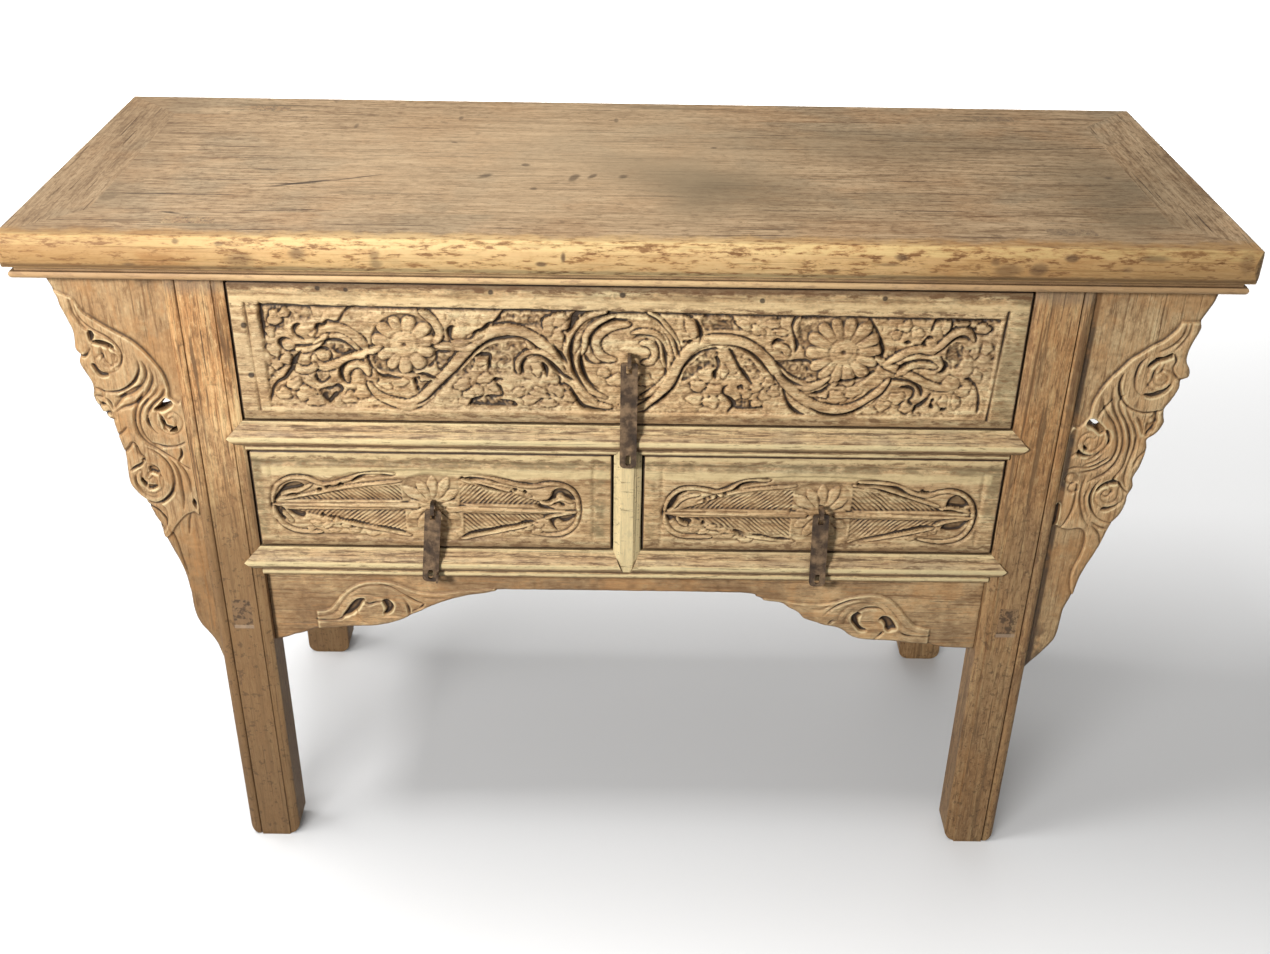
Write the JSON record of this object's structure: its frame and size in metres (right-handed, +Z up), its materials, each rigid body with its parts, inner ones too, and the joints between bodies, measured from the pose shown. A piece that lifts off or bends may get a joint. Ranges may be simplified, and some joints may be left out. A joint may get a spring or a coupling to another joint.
{
  "type": "altar table",
  "caption": "Low-relief carved wooden altar table: framed top on square legs, scroll-edged wings, drawers with hanging strap pulls and a shaped apron.",
  "frame": {"origin": "centre of the footprint of the top, on the floor", "axes": "+X along the table towards its right end as seen from the front, +Y to the back, +Z up"},
  "size_m": [1.32, 0.498, 0.865],
  "materials": {
    "top_wood": "worn, oiled",
    "case_wood": "worn, oiled",
    "carved_wood": "worn, oiled",
    "drawer_wood": "bare",
    "iron": "rusted"
  },
  "bodies": {
    "case": {"apron_front": "carved_wood", "back_panel_lower": "case_wood", "back_panel_upper": "case_wood", "leg_back_left": "case_wood", "leg_back_right": "case_wood", "leg_front_left": "case_wood", "leg_front_right": "case_wood", "muntin_front": "case_wood", "rail_back_lower": "case_wood", "rail_back_middle": "case_wood", "rail_back_upper": "case_wood", "rail_front_lower": "case_wood", "rail_front_middle": "case_wood", "rail_side_lower_left": "case_wood", "rail_side_lower_right": "case_wood", "rail_side_upper_left": "case_wood", "rail_side_upper_right": "case_wood", "runner_lower_left": "case_wood", "runner_lower_middle": "case_wood", "runner_lower_right": "case_wood", "runner_upper_left": "case_wood", "runner_upper_right": "case_wood", "side_panel_left": "case_wood", "side_panel_right": "case_wood", "top_batten_left": "case_wood", "top_batten_middle": "case_wood", "top_batten_right": "case_wood", "top_end_left": "top_wood", "top_end_right": "top_wood", "top_panel": "top_wood", "top_rail_back": "top_wood", "top_rail_front": "top_wood", "wing_left": "carved_wood", "wing_right": "carved_wood"},
    "drawer_top": {"drawer_top_back": "drawer_wood", "drawer_top_bottom": "drawer_wood", "drawer_top_front": "carved_wood", "drawer_top_side_left": "drawer_wood", "drawer_top_side_right": "drawer_wood", "drawer_top_staple": "iron"},
    "pull_top": {"drawer_top_pull": "iron"},
    "drawer_left": {"drawer_left_back": "drawer_wood", "drawer_left_bottom": "drawer_wood", "drawer_left_front": "carved_wood", "drawer_left_side_left": "drawer_wood", "drawer_left_side_right": "drawer_wood", "drawer_left_staple": "iron"},
    "pull_left": {"drawer_left_pull": "iron"},
    "drawer_right": {"drawer_right_back": "drawer_wood", "drawer_right_bottom": "drawer_wood", "drawer_right_front": "carved_wood", "drawer_right_side_left": "drawer_wood", "drawer_right_side_right": "drawer_wood", "drawer_right_staple": "iron"},
    "pull_right": {"drawer_right_pull": "iron"}
  },
  "joints": [
    {"name": "drawer_top_slide", "type": "slide", "parent": "case", "child": "drawer_top", "axis": [0, -1, 0], "range_m": [0, 0.3]},
    {"name": "drawer_left_slide", "type": "slide", "parent": "case", "child": "drawer_left", "axis": [0, -1, 0], "range_m": [0, 0.3]},
    {"name": "drawer_right_slide", "type": "slide", "parent": "case", "child": "drawer_right", "axis": [0, -1, 0], "range_m": [0, 0.3]},
    {"name": "pull_top_swing", "type": "hinge", "parent": "drawer_top", "child": "pull_top", "pos_m": [0, -0.229, 0.7205], "axis": [-1, 0, 0], "range_deg": [0, 110]},
    {"name": "pull_left_swing", "type": "hinge", "parent": "drawer_left", "child": "pull_left", "pos_m": [-0.22575, -0.229, 0.5275], "axis": [-1, 0, 0], "range_deg": [0, 110]},
    {"name": "pull_right_swing", "type": "hinge", "parent": "drawer_right", "child": "pull_right", "pos_m": [0.22575, -0.229, 0.5275], "axis": [-1, 0, 0], "range_deg": [0, 110]}
  ]
}
